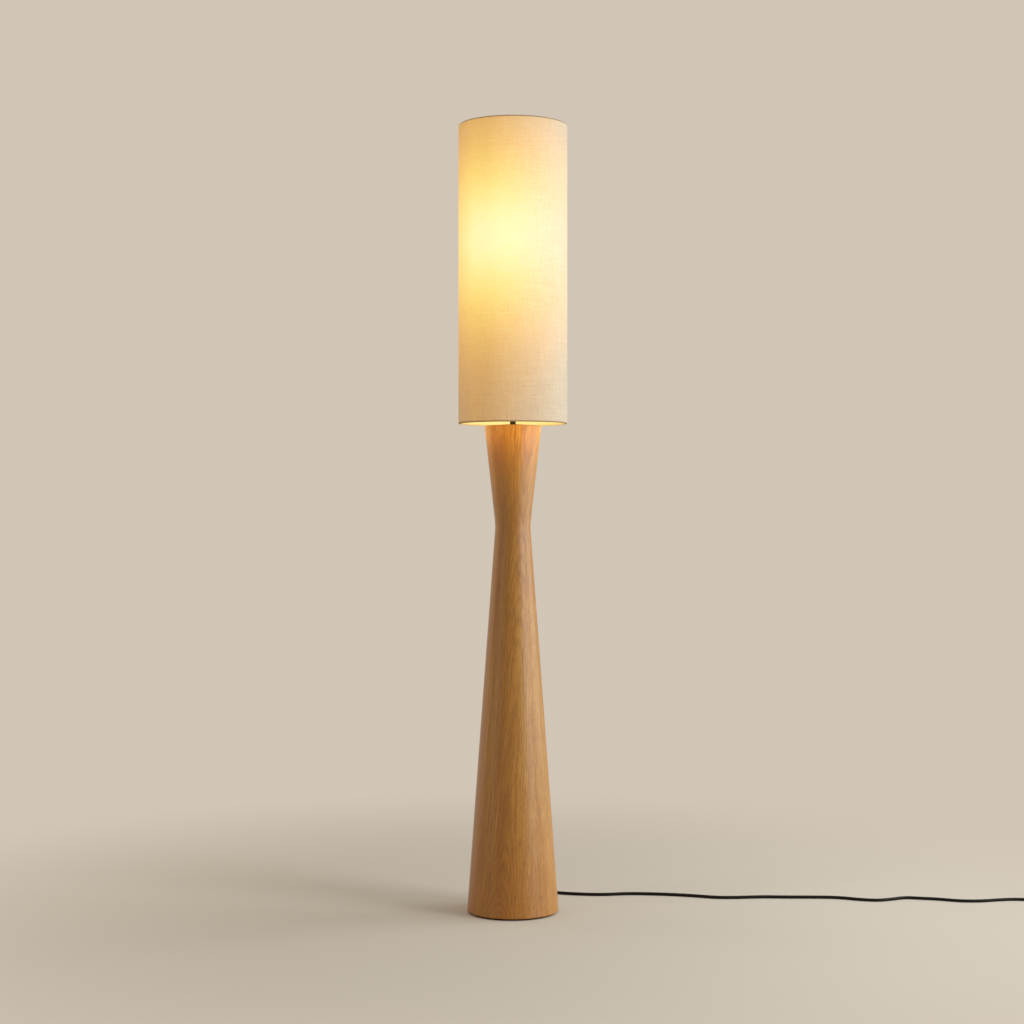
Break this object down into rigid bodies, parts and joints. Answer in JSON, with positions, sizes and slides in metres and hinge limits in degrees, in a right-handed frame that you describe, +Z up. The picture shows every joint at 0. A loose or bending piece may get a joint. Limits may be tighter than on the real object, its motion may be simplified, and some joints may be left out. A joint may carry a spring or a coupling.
{
  "type": "column floor lamp",
  "caption": "Column floor lamp with a turned oak hourglass column, a tall cloth drum shade on a harp, a turn switch and a black cord.",
  "frame": {"origin": "middle of the foot on the floor", "axes": "+Z up, the front faces -Y, the cord leaves at the back, +Y"},
  "size_m": [1.444, 0.2921, 1.5942],
  "materials": {
    "felt": "black wool felt",
    "dark_steel": "black powder coat",
    "zinc_steel": "zinc plated",
    "oak": "oak, satin lacquer",
    "black_metal": "satin black",
    "harp_metal": "brass plated steel wire",
    "brass": "polished brass",
    "insulating_paper": "pressed paper",
    "black_moulding": "black phenolic moulding",
    "wire_insulation": "soft insulation",
    "cord_rubber": "black moulded cord",
    "bulb_metal": "bare metal",
    "white_plastic": "white moulding",
    "led_board": "white board",
    "bulb_glass": "opal diffuser",
    "white_wire": "white enamel",
    "shade_sheet": "translucent lining sheet",
    "shade_cloth": "plain woven cream cloth"
  },
  "bodies": {
    "lamp": {"foot_pad": "felt", "base_weight": "dark_steel", "base_screws": "zinc_steel", "column_lower": "oak", "column_upper": "oak", "tie_tube": "zinc_steel", "lower_washer": "zinc_steel", "lower_nut": "zinc_steel", "top_washer": "zinc_steel", "top_nut": "zinc_steel", "top_cover": "black_metal", "stem": "black_metal", "harp_saddle": "harp_metal", "harp": "harp_metal", "harp_stud": "brass", "lampholder_cap": "brass", "lampholder_shell": "brass", "lampholder_sleeve": "insulating_paper", "switch_block": "black_moulding", "screw_shell": "brass", "centre_contact": "brass", "terminal_screws": "brass", "lampholder_wires": "wire_insulation", "inner_flex": "cord_rubber", "cord_gland": "cord_rubber", "cord_lead": "cord_rubber", "cord_coil": "cord_rubber", "cord_tail": "cord_rubber", "plug_body": "cord_rubber", "plug_blades": "brass"},
    "shade": {"shade_carrier": "white_wire", "shade_lower_ring": "white_wire", "shade_liner": "shade_sheet", "shade_fabric": "shade_cloth"},
    "bulb": {"bulb_cap": "bulb_metal", "bulb_housing": "white_plastic", "bulb_led_board": "led_board", "bulb_dome": "bulb_glass"},
    "finial": {"finial": "brass"},
    "ferrule_left": {"ferrule_left": "brass"},
    "ferrule_right": {"ferrule_right": "brass"},
    "switch_knob": {"switch_knob": "black_moulding"}
  },
  "joints": [
    {"name": "shade_lift", "type": "slide", "parent": "lamp", "child": "shade", "axis": [0, 0, 1], "range_m": [0, 0.62]},
    {"name": "finial_turn", "type": "hinge", "parent": "shade", "child": "finial", "pos_m": [0, 0, 1.5786], "axis": [0, 0, 1], "range_deg": [0, 1080]},
    {"name": "bulb_turn", "type": "hinge", "parent": "lamp", "child": "bulb", "pos_m": [0, 0, 1.3], "axis": [0, 0, 1], "range_deg": [0, 1080]},
    {"name": "ferrule_left_slide", "type": "slide", "parent": "lamp", "child": "ferrule_left", "axis": [0, 0, 1], "range_m": [0, 0.013]},
    {"name": "ferrule_right_slide", "type": "slide", "parent": "lamp", "child": "ferrule_right", "axis": [0, 0, 1], "range_m": [0, 0.013]},
    {"name": "switch_turn", "type": "hinge", "parent": "lamp", "child": "switch_knob", "pos_m": [0, -0.02, 1.272], "axis": [0, -1, 0], "continuous": true}
  ]
}
